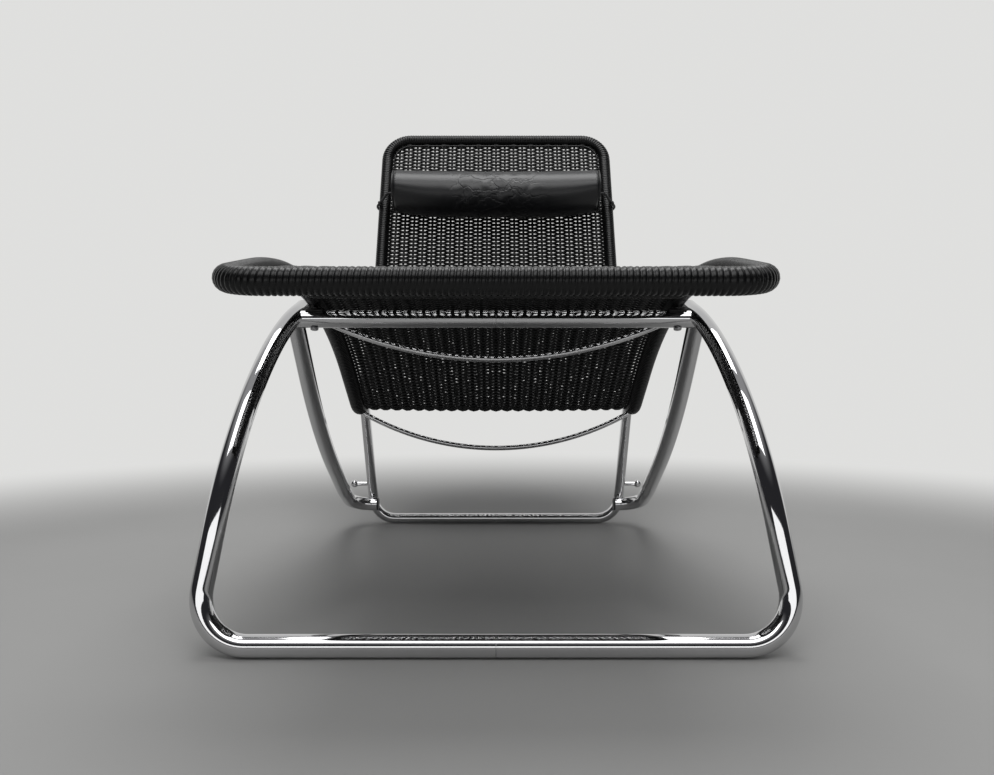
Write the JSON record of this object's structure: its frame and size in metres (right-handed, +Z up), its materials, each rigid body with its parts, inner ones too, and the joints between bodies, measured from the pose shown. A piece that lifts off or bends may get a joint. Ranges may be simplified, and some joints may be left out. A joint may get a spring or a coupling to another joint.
{
  "type": "lounge chair",
  "caption": "Low lounge chair: black cane sling on a wrapped tube loop, carried by a chrome tube base and rear hoop, with a leather bolster headrest that slides on the back rails.",
  "frame": {"origin": "on the floor, under the middle of the overall box", "axes": "+Z up, the sitter faces -Y, +X to the right as seen from the front"},
  "size_m": [0.7294, 1.264, 0.9395],
  "materials": {
    "chrome": "mirror polished",
    "inner_steel": "plain",
    "cane": "satin, stained black",
    "leather": "soft sheen",
    "foam": "open cell",
    "cord": "satin",
    "pad_rubber": "matt",
    "plug_plastic": "matt"
  },
  "bodies": {
    "chair_frame": {"base_frame_left": "chrome", "base_frame_right": "chrome", "crossbar_left": "chrome", "crossbar_right": "chrome", "rear_hoop_left": "chrome", "rear_hoop_right": "chrome", "ball_peg_left": "chrome", "ball_peg_right": "chrome", "front_spreader": "chrome", "rear_spreader": "chrome", "front_bar_sleeve": "inner_steel", "crossbar_sleeve": "inner_steel", "rear_bar_sleeve": "inner_steel", "sling_front_sleeve": "inner_steel", "sling_top_sleeve": "inner_steel", "sling_tube_left": "inner_steel", "sling_tube_right": "inner_steel", "rail_screws": "inner_steel", "front_roll_wrap": "cane", "top_bar_wrap": "cane", "rail_wrap_left": "cane", "rail_wrap_right": "cane", "seat_weave": "cane", "back_weave": "cane", "saddle_pads": "pad_rubber", "tube_end_plugs": "plug_plastic"},
    "headrest": {"headrest_core": "foam", "headrest_cover": "leather", "headrest_end_left": "leather", "headrest_end_right": "leather", "tie_cord": "cord", "cord_knots": "cord"}
  },
  "joints": [
    {"name": "headrest_slide", "type": "slide", "parent": "chair_frame", "child": "headrest", "axis": [0, 0.3649, 0.9311], "range_m": [-0.13, 0.12]}
  ]
}
